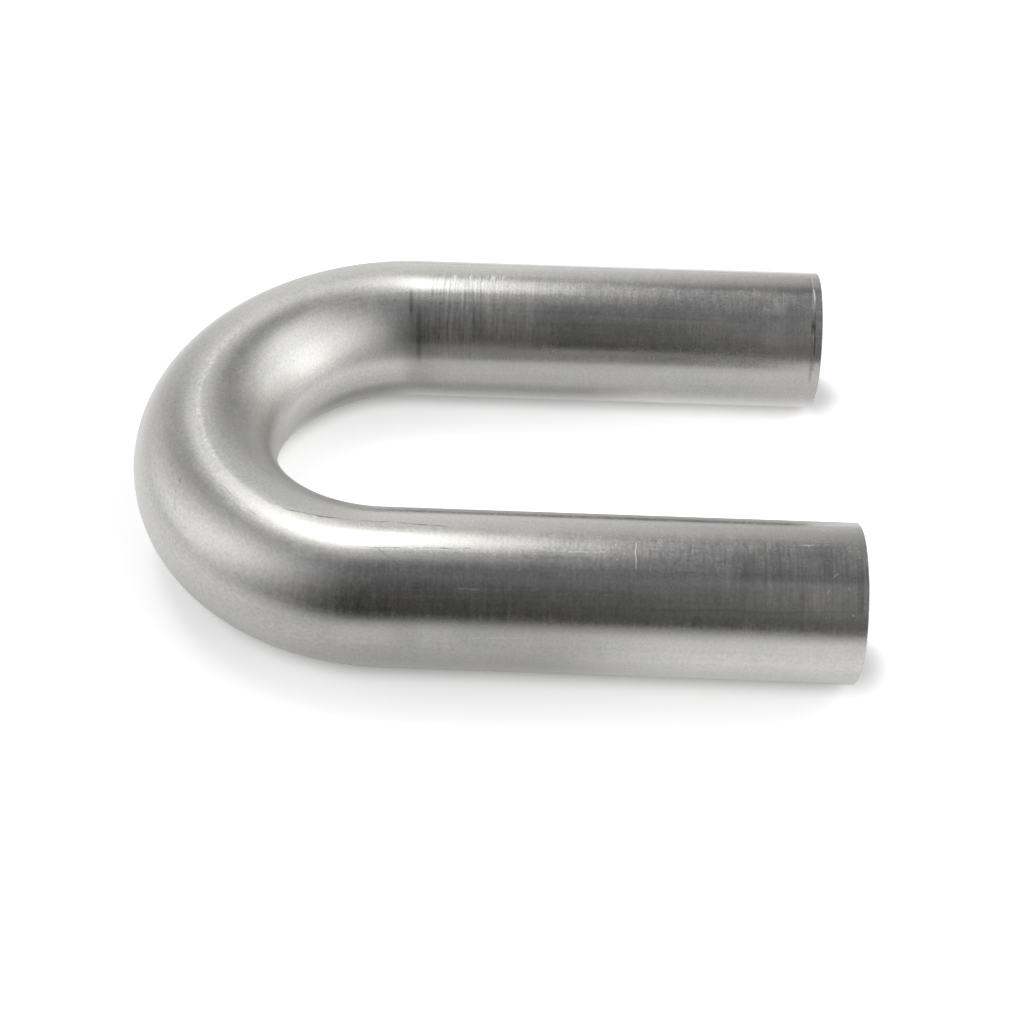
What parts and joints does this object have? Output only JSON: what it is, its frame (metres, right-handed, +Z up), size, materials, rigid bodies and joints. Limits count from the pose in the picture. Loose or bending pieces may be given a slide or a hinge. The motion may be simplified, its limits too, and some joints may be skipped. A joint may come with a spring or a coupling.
{
  "type": "return bend",
  "caption": "U-shaped steel tube with plain saw-cut ends, mandrel bent through a half turn to join parallel pipe runs and turn the flow back.",
  "frame": {"origin": "on the surface it lies on, under the middle of its overall length and width", "axes": "+X along the legs towards their open ends, +Y across from one leg to the other, +Z up"},
  "size_m": [0.3012, 0.2414, 0.0635],
  "materials": {
    "steel": "satin"
  },
  "bodies": {
    "root": {"return_bend": "steel"}
  },
  "joints": []
}
